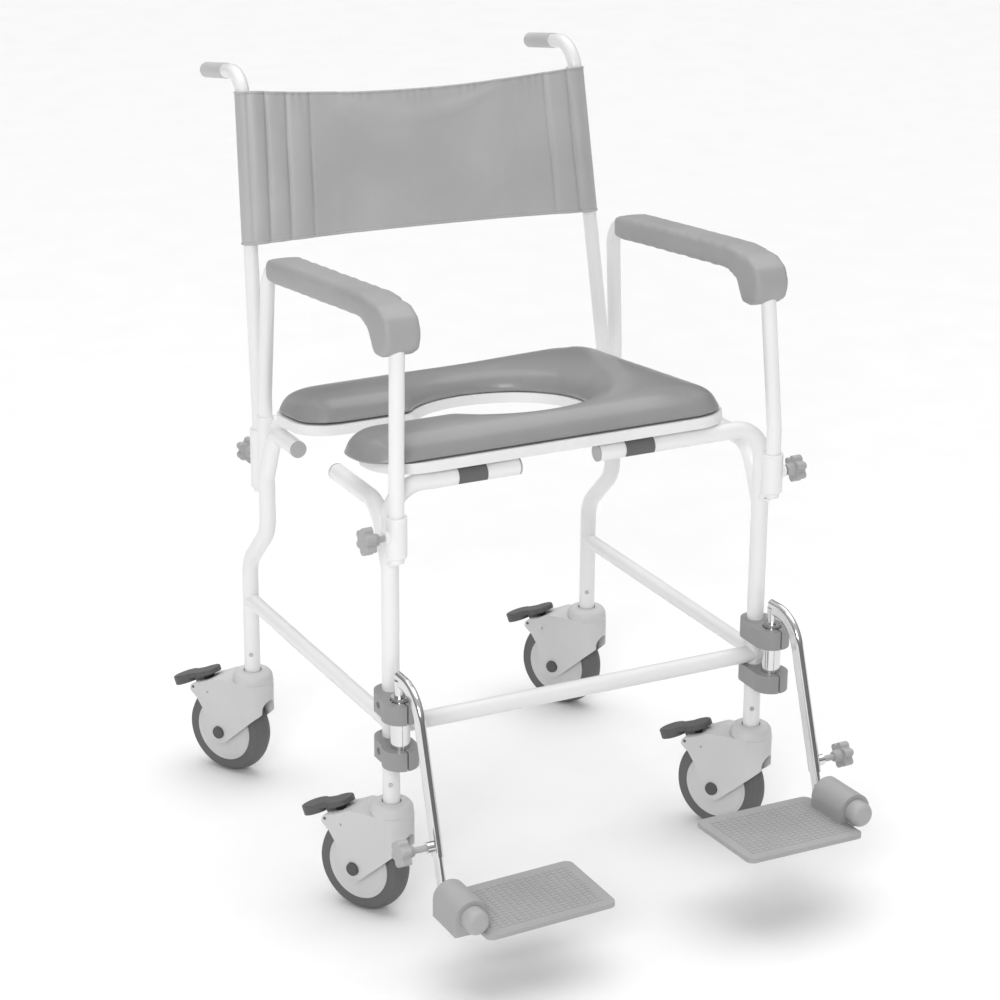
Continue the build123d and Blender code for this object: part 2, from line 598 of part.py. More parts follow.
with BuildPart() as seat_cushion:
    with BuildSketch(seat_plane.offset(PLATE_RIM)) as cushion_outline:
        horseshoe(3)
        fillet(cushion_outline.vertices().group_by(Axis.X)[0].sort_by(Axis.Y)[1:3], 47)
        lobe_left = SEAT_X[0] - LOBE_OVERHANG
        with Locations(((lobe_left - 150) / 2, LOBE_FRONT / 2)):         # longer front lobe
            RectangleRounded(-150 - lobe_left, LOBE_FRONT - 6, 50)
    extrude(amount=CUSHION_THICK)
    fillet(seat_cushion.faces().sort_by(Axis.Z)[-1].edges(), 14)
save(seat_cushion, "seat_cushion")

# ---------------------------------------------------------------- footrests
CLAMP_NOSE_R = 23.0
CLAMP_BACK_R = 20.0
PIVOT_TUBE_R = 12.5
PIVOT_PIN_R = 7.0
CLAMP_SCREW_R = 3.0
SLIT = 2.0
FLAT_DEPTH = 20.0        # hanger's flat-oval section, along the chair
FLAT_WIDTH = 10.0
FLAT_WALL = 1.5
STEM_GAP = 0.1


def flat_oval(depth, width):
    """Flat-oval section in the active sketch, long side along the sketch's x."""
    SlotOverall(depth, width)


with BuildPart() as footrest_clamps:
    for sign in SIDES.values():
        for base, top in CLAMP_Z:
            with BuildSketch(Plane.XY.offset(base)):
                with Locations((sign * FOOT_X, PIVOT_Y)):
                    Circle(CLAMP_NOSE_R)
                with Locations((sign * (LEG_X + 1), FRONT_Y)):
                    Circle(CLAMP_BACK_R)
                with Locations((sign * (LEG_X + 2), (PIVOT_Y + FRONT_Y) / 2)):
                    Rectangle(2 * CLAMP_BACK_R + 2, FRONT_Y - PIVOT_Y)
                with Locations((sign * FOOT_X, PIVOT_Y - CLAMP_NOSE_R)):
                    Rectangle(SLIT, 2 * CLAMP_NOSE_R, mode=Mode.SUBTRACT)
            extrude(amount=top - base)
            outer_face = sign * (LEG_X + CLAMP_BACK_R + 4)
            bore_along((outer_face, (PIVOT_Y + FRONT_Y) / 2 + 5, (base + top) / 2), (-sign, 0, 0),
                       CLAMP_SCREW_R + 1.6, 8)
        cut_leg(sign * LEG_X, FRONT_Y, CLAMP_Z[0][0] - 5, CLAMP_Z[1][1] + 5)
        cut_leg(sign * FOOT_X, PIVOT_Y, CLAMP_Z[0][0] - 5, CLAMP_Z[1][1] + 5, PIVOT_TUBE_R)
save(footrest_clamps, "footrest_clamps")

with BuildPart() as clamp_screws:
    for sign in SIDES.values():
        for base, top in CLAMP_Z:
            head = (sign * (LEG_X + CLAMP_BACK_R - 1), (PIVOT_Y + FRONT_Y) / 2 + 5, (base + top) / 2)
            bore_along(head, (-sign, 0, 0), CLAMP_SCREW_R + 1.5, 2.8, Mode.ADD)
            with BuildSketch(Plane(origin=head, z_dir=(-sign, 0, 0))):
                RegularPolygon(2.4, 6)
            extrude(amount=2, mode=Mode.SUBTRACT)
save(clamp_screws, "clamp_screws")

with BuildPart() as footrest_pivot_tubes:
    for sign in SIDES.values():
        foot = (sign * FOOT_X, PIVOT_Y, CLAMP_Z[0][0] + 2)
        bore_along(foot, (0, 0, 1), PIVOT_TUBE_R, CLAMP_Z[1][1] - CLAMP_Z[0][0] - 4, Mode.ADD)
        bore_along(foot, (0, 0, 1), PIVOT_PIN_R + 0.05, 200)
save(footrest_pivot_tubes, "footrest_pivot_tubes")

knee = Vector(0, *HANGER_KNEE)
foot_end = Vector(0, *HANGER_FOOT)
DROP_DIR = (foot_end - knee).normalized()        # down the hanger's straight run
SPINDLE = foot_end - DROP_DIR * 13               # where the height knob's stud enters
SHAFT_R = 5.0
BARREL_R = 22.0
BARREL_LENGTH = 62.0
BARREL_GAP = 19.0        # from the stem's axis to the barrel's back
CAP_LENGTH = 20.0
CAP_R = 16.0
PLATE_THICK = 6.0
PLATE_DROP = 15.0        # plate's top below its pivot
PLATE_START = 8.0        # from the pivot to the plate's two ends
PLATE_REACH = 181.0
PLATE_DEPTH = 123.0
PLATE_FRONT_Y = FRONT_Y - 261.0
PLATE_TILT = 2.0         # degrees, free end up


def along_drop(z):
    """Point of the hanger's straight run at height z, in the plane x = 0."""
    return knee + DROP_DIR * ((z - knee.Z) / DROP_DIR.Z)


for side, sign in SIDES.items():
    x = sign * FOOT_X
    plane_x = Vector(x, 0, 0)
    axis_z = FOOT_AXIS_Z[side]
    hub_point = along_drop(axis_z) + plane_x
    barrel_back = hub_point.Y - BARREL_GAP
    pivot = Axis((x, PIVOT_Y, 0), (0, 0, 1))

    start = Vector(x, PIVOT_Y + 4, HANGER_KNEE[1])
    section = Plane(origin=start, x_dir=(0, 0, 1), z_dir=(0, -1, 0))
    with BuildPart() as hanger:
        with BuildLine() as sweep_line:
            FilletPolyline(start, knee + plane_x, foot_end + plane_x, radius=45)
        with BuildSketch(section):
            flat_oval(FLAT_DEPTH, FLAT_WIDTH)
        sweep()
        with BuildLine() as hollow_line:
            FilletPolyline(start - Vector(0, 8, 0), knee + plane_x, foot_end + plane_x, radius=45)
        with BuildSketch(Plane(origin=hollow_line.line @ 0, x_dir=(0, 0, 1), z_dir=(0, -1, 0))):
            flat_oval(FLAT_DEPTH - 2 * FLAT_WALL, FLAT_WIDTH - 2 * FLAT_WALL)
        sweep(mode=Mode.SUBTRACT)
        with BuildSketch(Plane(origin=(x, 0, 0), x_dir=(0, 1, 0), z_dir=(1, 0, 0))):
            with BuildLine():
                Polyline((PIVOT_Y, CLAMP_Z[1][1] + 2), (PIVOT_Y, 334), (PIVOT_Y - 32, 327), close=True)
            make_face()
        extrude(amount=2, both=True)
        bore_along((x, PIVOT_Y, CLAMP_Z[0][1] - 10), (0, 0, 1), PIVOT_PIN_R,
                   HANGER_KNEE[1] - CLAMP_Z[0][1] + 10, Mode.ADD)
        bore_along((x, PIVOT_Y, CLAMP_Z[1][1] + 0.3), (0, 0, 1), PIVOT_PIN_R + 4, 5, Mode.ADD)
        bore_along(SPINDLE + plane_x, (sign, 0, 0), BOSS_R - 1, 14, Mode.ADD)
        bore_along(SPINDLE + plane_x, (sign, 0, 0), STUD_BORE, 16)
        with BuildSketch(Plane(origin=foot_end + plane_x + DROP_DIR, x_dir=(1, 0, 0), z_dir=-DROP_DIR)):
            Rectangle(FLAT_WIDTH - 2 * FLAT_WALL, FLAT_DEPTH - 2 * FLAT_WALL)
            fillet(vertices(), FLAT_WIDTH / 2 - FLAT_WALL - 0.01)
        extrude(amount=150, mode=Mode.SUBTRACT)
    save(hanger, f"footrest_hanger_{side}", FOOT_SWING[side], pivot)

    with BuildPart() as stem:
        low_end = along_drop(axis_z - 9) + plane_x
        with BuildSketch(Plane(origin=low_end, x_dir=(1, 0, 0), z_dir=-DROP_DIR)):
            Rectangle(FLAT_WIDTH - 2 * (FLAT_WALL + STEM_GAP), FLAT_DEPTH - 2 * (FLAT_WALL + STEM_GAP))
            fillet(vertices(), FLAT_WIDTH / 2 - FLAT_WALL - STEM_GAP - 0.01)
        extrude(amount=110)
        shaft_length = BARREL_GAP + BARREL_LENGTH + CAP_LENGTH - 8
        bore_along(hub_point, (0, -1, 0), SHAFT_R, shaft_length, Mode.ADD)
    save(stem, f"footrest_stem_{side}", FOOT_SWING[side], pivot)

    with BuildPart() as footplate:
        barrel_plane = Plane(origin=(x, barrel_back, axis_z), x_dir=(1, 0, 0), z_dir=(0, -1, 0))
        with BuildSketch(barrel_plane):
            Circle(BARREL_R)
            with Locations((0, -BARREL_R / 2)):
                Rectangle(2 * BARREL_R, BARREL_R)
        extrude(amount=BARREL_LENGTH)
        inner = -sign
        rise = math.radians(PLATE_TILT)
        deck = Plane(origin=(x, 0, axis_z), x_dir=(inner * math.cos(rise), 0, math.sin(rise)),
                     z_dir=(-inner * math.sin(rise), 0, math.cos(rise)))
        with BuildSketch(deck.offset(-PLATE_DROP - PLATE_THICK)):
            with Locations(((PLATE_START + PLATE_REACH) / 2,
                            inner * (PLATE_FRONT_Y + PLATE_DEPTH / 2))):
                RectangleRounded(PLATE_REACH - PLATE_START, PLATE_DEPTH, 10)
        extrude(amount=PLATE_THICK)
        with BuildSketch(Plane(origin=(x, barrel_back - BARREL_LENGTH, axis_z), x_dir=(1, 0, 0),
                               z_dir=(0, -1, 0))):
            Circle(CAP_R + 1.5)
        extrude(amount=CAP_LENGTH + 2, mode=Mode.SUBTRACT)
        bore_along((x, barrel_back + 1, axis_z), (0, -1, 0), SHAFT_R + 0.05, BARREL_LENGTH + 40)
    save(footplate, f"footplate_{side}", FOOT_SWING[side], pivot)

    with BuildPart() as end_cap:
        nose = Plane(origin=(x, barrel_back - BARREL_LENGTH - 0.4, axis_z), z_dir=(0, -1, 0))
        with BuildSketch(nose):
            Circle(CAP_R)
        extrude(amount=CAP_LENGTH)
        fillet(end_cap.edges().sort_by(Axis.Y)[0], 9)
        bore_along((x, barrel_back - BARREL_LENGTH + 1, axis_z), (0, -1, 0), SHAFT_R, CAP_LENGTH - 7)
    save(end_cap, f"footplate_end_cap_{side}", FOOT_SWING[side], pivot)

    star_knob(SPINDLE + plane_x, (sign, 0, 0), FOOT_KNOB_HUB, f"footrest_knob_{side}",
              FLAT_WIDTH / 2 - FLAT_WALL + 0.3, FOOT_SWING[side], pivot)
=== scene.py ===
"""Looks of the commode chair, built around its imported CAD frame."""

import json
import math

import bpy
import bmesh
import numpy as np
from mathutils import Matrix, Vector
from mathutils.bvhtree import BVHTree
from mathutils.kdtree import KDTree


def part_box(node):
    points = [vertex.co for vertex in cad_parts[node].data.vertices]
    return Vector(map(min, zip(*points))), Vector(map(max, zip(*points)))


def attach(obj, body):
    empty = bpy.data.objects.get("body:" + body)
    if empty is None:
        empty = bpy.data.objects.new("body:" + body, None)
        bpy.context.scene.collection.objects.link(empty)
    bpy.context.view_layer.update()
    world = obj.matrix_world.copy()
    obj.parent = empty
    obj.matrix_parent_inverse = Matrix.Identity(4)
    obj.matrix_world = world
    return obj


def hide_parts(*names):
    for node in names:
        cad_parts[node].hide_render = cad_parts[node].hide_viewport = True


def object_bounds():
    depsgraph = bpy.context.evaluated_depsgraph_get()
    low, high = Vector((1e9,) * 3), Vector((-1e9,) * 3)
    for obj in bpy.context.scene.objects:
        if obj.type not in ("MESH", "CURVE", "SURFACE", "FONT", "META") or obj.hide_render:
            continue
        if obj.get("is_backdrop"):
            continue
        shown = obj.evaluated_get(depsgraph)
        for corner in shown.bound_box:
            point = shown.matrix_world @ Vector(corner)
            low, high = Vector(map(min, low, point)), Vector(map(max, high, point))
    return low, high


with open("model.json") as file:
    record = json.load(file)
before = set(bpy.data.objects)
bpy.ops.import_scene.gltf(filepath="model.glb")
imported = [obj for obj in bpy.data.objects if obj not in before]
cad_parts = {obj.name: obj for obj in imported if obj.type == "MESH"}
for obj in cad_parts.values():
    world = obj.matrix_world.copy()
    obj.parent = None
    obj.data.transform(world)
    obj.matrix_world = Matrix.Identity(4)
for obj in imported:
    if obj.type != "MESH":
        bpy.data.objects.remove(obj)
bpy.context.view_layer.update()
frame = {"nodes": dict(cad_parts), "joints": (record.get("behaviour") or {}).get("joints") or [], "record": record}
nodes = frame["nodes"]
scene = bpy.context.scene


# ---------------------------------------------------------------- camera and light
EYE = (-1.608, -3.108, 1.737)
TARGET = (0.0395, 0.1238, 0.4085)
ROLL = 0.4                   # degrees
FOCAL_LENGTH = 103.53        # mm, on a 36 mm sensor


def add_camera():
    data = bpy.data.cameras.new("camera")
    data.sensor_width = 36.0
    data.lens = FOCAL_LENGTH
    data.clip_start = 0.05
    data.clip_end = 60.0
    camera = bpy.data.objects.new("camera", data)
    scene.collection.objects.link(camera)
    aim = (Vector(TARGET) - Vector(EYE)).to_track_quat("-Z", "Y")
    camera.rotation_mode = "QUATERNION"
    camera.rotation_quaternion = aim @ Matrix.Rotation(math.radians(ROLL), 3, "Z").to_quaternion()
    camera.location = EYE
    scene.camera = camera


def add_area(name, place, target, size, power):
    data = bpy.data.lights.new(name, "AREA")
    data.shape = "RECTANGLE"
    data.size, data.size_y = size
    data.energy = power
    light = bpy.data.objects.new(name, data)
    scene.collection.objects.link(light)
    light.location = place
    light.rotation_euler = (Vector(target) - Vector(place)).to_track_quat("-Z", "Y").to_euler()


def add_sun(name, strength, spread, tilt):
    """A soft overhead light; spread and tilt in degrees."""
    light = bpy.data.objects.new(name, bpy.data.lights.new(name, "SUN"))
    light.data.energy = strength
    light.data.angle = math.radians(spread)
    light.rotation_euler = (math.radians(tilt[0]), math.radians(tilt[1]), 0)
    scene.collection.objects.link(light)


def add_world(horizon, strength):
    """An even studio surround that is grey at the horizon and white above."""
    world = bpy.data.worlds.new("studio")
    scene.world = world
    world.use_nodes = True
    tree = world.node_tree
    place = tree.nodes.new("ShaderNodeTexCoord")
    parts = tree.nodes.new("ShaderNodeSeparateXYZ")
    sky = tree.nodes.new("ShaderNodeValToRGB")
    sky.color_ramp.elements[0].position = 0.0
    sky.color_ramp.elements[0].color = (horizon, horizon, horizon, 1)
    sky.color_ramp.elements[1].position = 0.75
    sky.color_ramp.elements[1].color = (1, 1, 1, 1)
    tree.links.new(place.outputs["Generated"], parts.inputs["Vector"])
    tree.links.new(parts.outputs["Z"], sky.inputs["Fac"])
    tree.links.new(sky.outputs["Color"], tree.nodes["Background"].inputs["Color"])
    tree.nodes["Background"].inputs["Strength"].default_value = strength


scene.view_settings.view_transform = "Standard"
add_camera()
add_world(0.22, 0.6)
add_area("key", (-2.6, -3.4, 2.6), (0, 0, 0.5), (1.6, 1.6), 80)
add_sun("overhead", 1.7, 70, (-12, 8))


# ---------------------------------------------------------------- materials
def material(name, color, rough=0.5, metal=0.0, coat=0.0, grain=0.0, grain_scale=400.0,
             shade=0.06, shade_scale=9.0, rough_spread=0.1):
    """A principled material with mottled colour, uneven roughness and a fine grain bump."""
    made = bpy.data.materials.new(name)
    made.use_nodes = True
    tree = made.node_tree
    links = tree.links
    shader = tree.nodes["Principled BSDF"]
    shader.inputs["Metallic"].default_value = metal
    shader.inputs["Coat Weight"].default_value = coat
    shader.inputs["Coat Roughness"].default_value = 0.12
    place = tree.nodes.new("ShaderNodeTexCoord")
    broad = tree.nodes.new("ShaderNodeTexNoise")
    broad.inputs["Scale"].default_value = shade_scale
    broad.inputs["Detail"].default_value = 4
    links.new(place.outputs["Object"], broad.inputs["Vector"])
    ramp = tree.nodes.new("ShaderNodeValToRGB")
    dark = [c * (1 - shade) for c in color]
    pale = [min(1.0, c * (1 + shade)) for c in color]
    ramp.color_ramp.elements[0].position = 0.3
    ramp.color_ramp.elements[0].color = (*dark, 1)
    ramp.color_ramp.elements[1].position = 0.7
    ramp.color_ramp.elements[1].color = (*pale, 1)
    links.new(broad.outputs["Fac"], ramp.inputs["Fac"])
    links.new(ramp.outputs["Color"], shader.inputs["Base Color"])
    spread = tree.nodes.new("ShaderNodeMapRange")
    spread.inputs["To Min"].default_value = max(0.02, rough - rough_spread)
    spread.inputs["To Max"].default_value = min(1.0, rough + rough_spread)
    links.new(broad.outputs["Fac"], spread.inputs["Value"])
    links.new(spread.outputs["Result"], shader.inputs["Roughness"])
    if grain:
        fine = tree.nodes.new("ShaderNodeTexNoise")
        fine.inputs["Scale"].default_value = grain_scale
        fine.inputs["Detail"].default_value = 3
        links.new(place.outputs["Object"], fine.inputs["Vector"])
        bump = tree.nodes.new("ShaderNodeBump")
        bump.inputs["Strength"].default_value = grain
        bump.inputs["Distance"].default_value = 0.001
        links.new(fine.outputs["Fac"], bump.inputs["Height"])
        links.new(bump.outputs["Normal"], shader.inputs["Normal"])
    return made


looks = {
    "frame_paint": material("frame_paint", (0.84, 0.84, 0.84), 0.32, coat=0.3, grain=0.05, shade=0.015),
    "chrome": material("chrome", (0.7, 0.7, 0.7), 0.12, 1.0, shade=0.03, rough_spread=0.05),
    "steel": material("steel", (0.5, 0.5, 0.5), 0.35, 1.0),
    "castor_plastic": material("castor_plastic", (0.6, 0.6, 0.6), 0.45, grain=0.1, shade=0.03),
    "tyre": material("tyre", (0.12, 0.12, 0.12), 0.6, grain=0.2),
    "pedal_plastic": material("pedal_plastic", (0.09, 0.09, 0.09), 0.5, grain=0.15),
    "knob_plastic": material("knob_plastic", (0.4, 0.4, 0.4), 0.45, grain=0.1),
    "pad_foam": material("pad_foam", (0.36, 0.36, 0.36), 0.5, grain=0.15),
    "sling_vinyl": material("sling_vinyl", (0.45, 0.45, 0.45), 0.4, grain=0.2),
    "cushion_vinyl": material("cushion_vinyl", (0.27, 0.27, 0.27), 0.34, coat=0.15, grain=0.2),
    "seat_plastic": material("seat_plastic", (0.8, 0.8, 0.8), 0.35),
    "grip_rubber": material("grip_rubber", (0.55, 0.55, 0.55), 0.55, grain=0.2),
    "band_rubber": material("band_rubber", (0.12, 0.12, 0.12), 0.6, grain=0.2),
    "cap_plastic": material("cap_plastic", (0.4, 0.4, 0.4), 0.45, grain=0.1),
    "footplate_plastic": material("footplate_plastic", (0.37, 0.37, 0.37), 0.5, grain=0.2),
    "clamp_plastic": material("clamp_plastic", (0.3, 0.3, 0.3), 0.45, grain=0.1),
}
# every CAD node takes its record's slot; the axles show only their dark caps
for entry in frame["record"]["subparts"]:
    mesh = nodes[entry["node"]].data
    mesh.materials.clear()
    mesh.materials.append(looks[entry["material_slot"]])
axle_look = material("axle_cap", (0.07, 0.07, 0.07), 0.4, grain=0.1)
for name, node in nodes.items():
    if name.startswith("castor_axle"):
        node.data.materials[0] = axle_look


# ---------------------------------------------------------------- soft pieces
def row_copy(node, name):
    """A new object with that CAD node's mesh, in the row frame."""
    mesh = nodes[node].data.copy()
    mesh.transform(nodes[node].matrix_world)
    mesh.name = name
    piece = bpy.data.objects.new(name, mesh)
    scene.collection.objects.link(piece)
    return piece


def coordinates(mesh):
    """A mesh's vertices as rows of an array."""
    flat = np.empty(len(mesh.vertices) * 3)
    mesh.vertices.foreach_get("co", flat)
    return flat.reshape(-1, 3)


def set_coordinates(mesh, points):
    """Move a mesh's vertices to these points."""
    mesh.vertices.foreach_set("co", points.ravel())
    mesh.update()


def bake_modifiers(piece):
    """Apply every modifier of a piece to its mesh."""
    graph = bpy.context.evaluated_depsgraph_get()
    made = bpy.data.meshes.new_from_object(piece.evaluated_get(graph))
    piece.modifiers.clear()
    piece.data = made


def remesh(piece, voxel):
    """Rebuild a piece as even quads about one voxel in size."""
    change = piece.modifiers.new("remesh", "REMESH")
    change.mode = "VOXEL"
    change.voxel_size = voxel
    bake_modifiers(piece)


def smooth_mesh(piece, turns):
    """Round off a piece's edges."""
    change = piece.modifiers.new("smooth", "SMOOTH")
    change.factor = 0.5
    change.iterations = turns
    bake_modifiers(piece)


def puff(piece, pressure, cap, held, gravity=0.0, frames=20):
    """Swell a piece as cloth under pressure; held vertices stay, the others move at most cap."""
    start = coordinates(piece.data)
    group = piece.vertex_groups.new(name="held")
    group.add([int(i) for i in np.nonzero(held)[0]], 1.0, "REPLACE")
    cloth = piece.modifiers.new("cloth", "CLOTH")
    cloth.settings.quality = 4
    cloth.settings.mass = 0.3
    cloth.settings.tension_stiffness = 25
    cloth.settings.compression_stiffness = 25
    cloth.settings.bending_stiffness = 2
    cloth.settings.vertex_group_mass = "held"
    cloth.settings.use_pressure = pressure > 0
    cloth.settings.uniform_pressure_force = pressure
    cloth.settings.effector_weights.gravity = gravity
    cloth.point_cache.frame_start = 1
    cloth.point_cache.frame_end = frames
    for frame_number in range(1, frames + 1):
        scene.frame_set(frame_number)
    bake_modifiers(piece)
    moved = coordinates(piece.data) - start
    length = np.linalg.norm(moved, axis=1, keepdims=True)
    set_coordinates(piece.data, start + moved * np.minimum(1, cap / np.maximum(length, 1e-9)))
    scene.frame_set(1)


def finish_soft(piece, look, body, node, levels=1):
    """Shade a soft piece, put it on its body and let it stand for its CAD node."""
    for face in piece.data.polygons:
        face.use_smooth = True
    if levels:
        finer = piece.modifiers.new("finer", "SUBSURF")
        finer.levels = levels
        finer.render_levels = levels
        bake_modifiers(piece)
    piece.data.materials.clear()
    piece.data.materials.append(looks[look])
    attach(piece, body)
    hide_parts(node)


def ease(value, start, end):
    """0 before start, 1 after end, smooth between."""
    part = np.clip((value - start) / (end - start), 0, 1)
    return part * part * (3 - 2 * part)


def main_face(mesh):
    """Normal and one point of the largest flat top face."""
    found = {}
    for face in mesh.polygons:
        if face.normal.z > 0.9:
            key = tuple(round(c, 3) for c in face.normal) + (round(face.normal.dot(face.center), 4),)
            area, _, _ = found.get(key, (0, None, None))
            found[key] = (area + face.area, face.normal.copy(), face.center.copy())
    return max(found.values(), key=lambda item: item[0])[1:]


# Seat cushion: vinyl over foam, crowned all over, with a soft slope to its edges
CUSHION_SLOPE = 0.046        # width of the slope along every edge
CUSHION_EDGE = 0.009         # height left at the edges
REAR_LEFT_DROP = 0.007       # the rear of the left lobe is thinner
SIDE_FACING = 0.6            # steeper than this, a vertex is on a side wall
HELD_HEIGHT = 0.004          # the underside, up to here, stays where it rests
cushion = row_copy("seat_cushion", "cushion")
up, _ = main_face(cushion.data)
remesh(cushion, 0.005)
points = coordinates(cushion.data)
up = np.array(up)
ahead = np.array([0.0, up[2], -up[1]])
flat = np.stack([points[:, 0], points @ ahead], axis=1)
height = points @ up
base = height.min()
tall = height.max() - base
normals = np.array([v.normal[:] for v in cushion.data.vertices])
sides = np.nonzero(np.abs(normals @ up) < SIDE_FACING)[0]
edges = KDTree(len(sides))
for index in sides:
    edges.insert((flat[index, 0], flat[index, 1], 0), int(index))
edges.balance()
reach = np.array([edges.find((u, v, 0))[2] for u, v in flat])
slope = np.minimum(reach / CUSHION_SLOPE, 1)
crown = np.sqrt(1 - (1 - slope) ** 2)
rear_left = ease(flat[:, 1], 0.02, 0.18) * ease(-flat[:, 0], -0.14, 0.02)
full = tall - REAR_LEFT_DROP * rear_left
new_height = CUSHION_EDGE + (full - CUSHION_EDGE) * crown
share = (height - base) / tall
points += np.outer(share * new_height - (height - base), up)
set_coordinates(cushion.data, points)
smooth_mesh(cushion, 6)
puff(cushion, 3.0, 0.003, coordinates(cushion.data) @ up < base + HELD_HEIGHT)
finish_soft(cushion, "cushion_vinyl", "seat", "seat_cushion")

# Armrest pads: skinned foam, rounded all round
PAD_REGAIN = 0.0019          # what the smoothing took off
PAD_SKIN = 0.0013            # least foam over the tube
PAD_END = 0.022              # the rear end is round in plan
PAD_FLOOR = 0.765            # below this height the tube comes out of the pad
PAD_SIDE = [                 # side view, (y from the front post's axis, z)
    (0.017, 0.737), (0.003, 0.746), (-0.002, 0.765), (0.006, 0.784), (0.027, 0.794),
    (0.075, 0.796), (0.197, 0.784), (0.351, 0.769), (0.379, 0.763), (0.379, 0.744),
    (0.349, 0.743), (0.197, 0.759), (0.079, 0.771), (0.050, 0.762), (0.035, 0.737)]
for side in ("left", "right"):
    low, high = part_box(f"armrest_pad_{side}")
    front = low[1] - min(y for y, _ in PAD_SIDE)
    middle_x = (low[0] + high[0]) / 2
    half = (high[0] - low[0]) / 2
    count = len(PAD_SIDE)
    pad_mesh = bpy.data.meshes.new(f"pad_{side}")
    corners = [(middle_x + x, front + y, z) for x in (-half, half) for y, z in PAD_SIDE]
    caps = [tuple(range(count)), tuple(reversed(range(count, 2 * count)))]
    walls = [(i, i + count, (i + 1) % count + count, (i + 1) % count) for i in range(count)]
    pad_mesh.from_pydata(corners, [], caps + walls)
    pad = bpy.data.objects.new(f"pad_{side}", pad_mesh)
    scene.collection.objects.link(pad)
    remesh(pad, 0.003)
    points = coordinates(pad.data)
    past = np.clip((points[:, 1] - (high[1] - PAD_END)) / PAD_END, 0, 0.98)
    points[:, 0] = middle_x + (points[:, 0] - middle_x) * np.sqrt(1 - past ** 2)
    set_coordinates(pad.data, points)
    smooth_mesh(pad, 14)
    skin = np.array([v.normal[:] for v in pad.data.vertices])
    set_coordinates(pad.data, coordinates(pad.data) + skin * PAD_REGAIN)
    tube = row_copy(f"armrest_tube_{side}", "tube_guide")
    surface = BVHTree.FromPolygons([v.co for v in tube.data.vertices],
                                   [f.vertices[:] for f in tube.data.polygons])
    bpy.data.objects.remove(tube)
    points = coordinates(pad.data)
    for index, vertex in enumerate(pad.data.vertices):
        spot, outward, _, _ = surface.find_nearest(vertex.co, 0.008)
        if spot and vertex.co.z > PAD_FLOOR and vertex.normal.dot(outward) > 0.3:
            depth = (vertex.co - spot).dot(outward)
            if depth < PAD_SKIN:
                points[index] += np.array(outward) * (PAD_SKIN - depth)
    set_coordinates(pad.data, points)
    puff(pad, 4.0, 0.0015, np.zeros(len(pad.data.vertices), bool))
    finish_soft(pad, "pad_foam", f"armrest_{side}", f"armrest_pad_{side}", 0)

# Backrest sling: one sheet of coated fabric, wrapped round both posts, with sewn channels
POST_LOW = Vector((0.2506, 0.2747, 0.756))       # the right post's axis at the sling's two ends
POST_HIGH = Vector((0.2428, 0.3074, 0.948))
SLEEVE = 0.0109                                   # from the post's axis to the fabric's middle
SLING_THICK = 0.0014
SAG = 0.009                                       # the panel hangs back between the posts
TOP_DIP = 0.012                                   # and its top edge dips
BOTTOM_RISE = 0.003
SLANT = 0.0052 / 0.25                             # the left end is a little higher
CHANNEL_PADDING = 0.0052
GROOVE_DEPTH, GROOVE_WIDTH = 0.0016, 0.0022
FIRST_CHANNEL = 0.012                             # from the outer edge, past the post
PUCKER = 0.0007                                   # small gathers under the top hem
HEM_R = 0.0017
HELD_FROM = 0.12                                  # the sewn ends stay put in the simulation
LEFT_SEAMS = (0.036, 0.066, 0.100)                # from the sling's outer edge
RIGHT_SEAMS = (0.030, 0.064)
COLUMNS, ROWS = 300, 56
back_lean = math.atan2(POST_HIGH.y - POST_LOW.y, POST_HIGH.z - POST_LOW.z)


def sling_path(half):
    """The wrapped route in plan for posts at +-half: x across, y back, evenly spaced."""
    right = [(half + SLEEVE * math.cos(a), SLEEVE * math.sin(a))
             for a in np.linspace(-0.5 * math.pi, 0.72 * math.pi, 36)]
    left = [(-x, y) for x, y in reversed(right)]
    front = [(x, -SLEEVE) for x in np.linspace(-half, half, 120)[1:-1]]
    route = np.array(left + front + right)
    run = np.concatenate([[0], np.cumsum(np.linalg.norm(np.diff(route, axis=0), axis=1))])
    even = np.linspace(0, run[-1], COLUMNS)
    spaced = [np.interp(even, run, route[:, k]) for k in (0, 1)]
    return np.stack(spaced, 1), run[-1]


def pillow(distance, seams):
    """Depth at a distance from the outer edge: grooves at the seams, padding between them."""
    depth = np.zeros_like(distance)
    previous = FIRST_CHANNEL
    for seam in seams:
        inside = (distance > previous) & (distance < seam)
        along = (distance[inside] - previous) / (seam - previous)
        depth[inside] -= CHANNEL_PADDING * np.sin(math.pi * along) ** 0.6
        previous = seam
    for seam in seams:
        depth += GROOVE_DEPTH * np.exp(-(((distance - seam) / GROOVE_WIDTH) ** 2))
    return depth


verts, widths = [], []
for row in range(ROWS):
    part = row / (ROWS - 1)
    centre = POST_LOW.lerp(POST_HIGH, part)
    route, run = sling_path(centre.x)
    widths.append(run)
    x, y = route[:, 0], route[:, 1].copy()
    outer = centre.x + SLEEVE
    on_panel = (route[:, 1] < -SLEEVE * 0.98)
    across = np.clip(np.abs(x) / (centre.x - 0.01), 0, 1)
    hollow = (1 - across ** 2)
    fade = 0.35 + 0.65 * math.sin(math.pi * min(max(part, 0.02), 0.98)) ** 0.4
    sewn = pillow(outer + x, LEFT_SEAMS) + pillow(outer - x, RIGHT_SEAMS)
    y += on_panel * (SAG * hollow + fade * sewn)
    pucker = PUCKER * np.sin(x * 420 + 3 * np.sin(x * 71)) * math.exp(-(1 - part) / 0.08)
    y += on_panel * pucker
    z = centre.z - SLANT * x - TOP_DIP * hollow * part ** 2 + BOTTOM_RISE * hollow * (1 - part)
    for a, b, c in zip(x, y, z):
        verts.append((a, centre.y + b * math.cos(back_lean), c - b * math.sin(back_lean)))
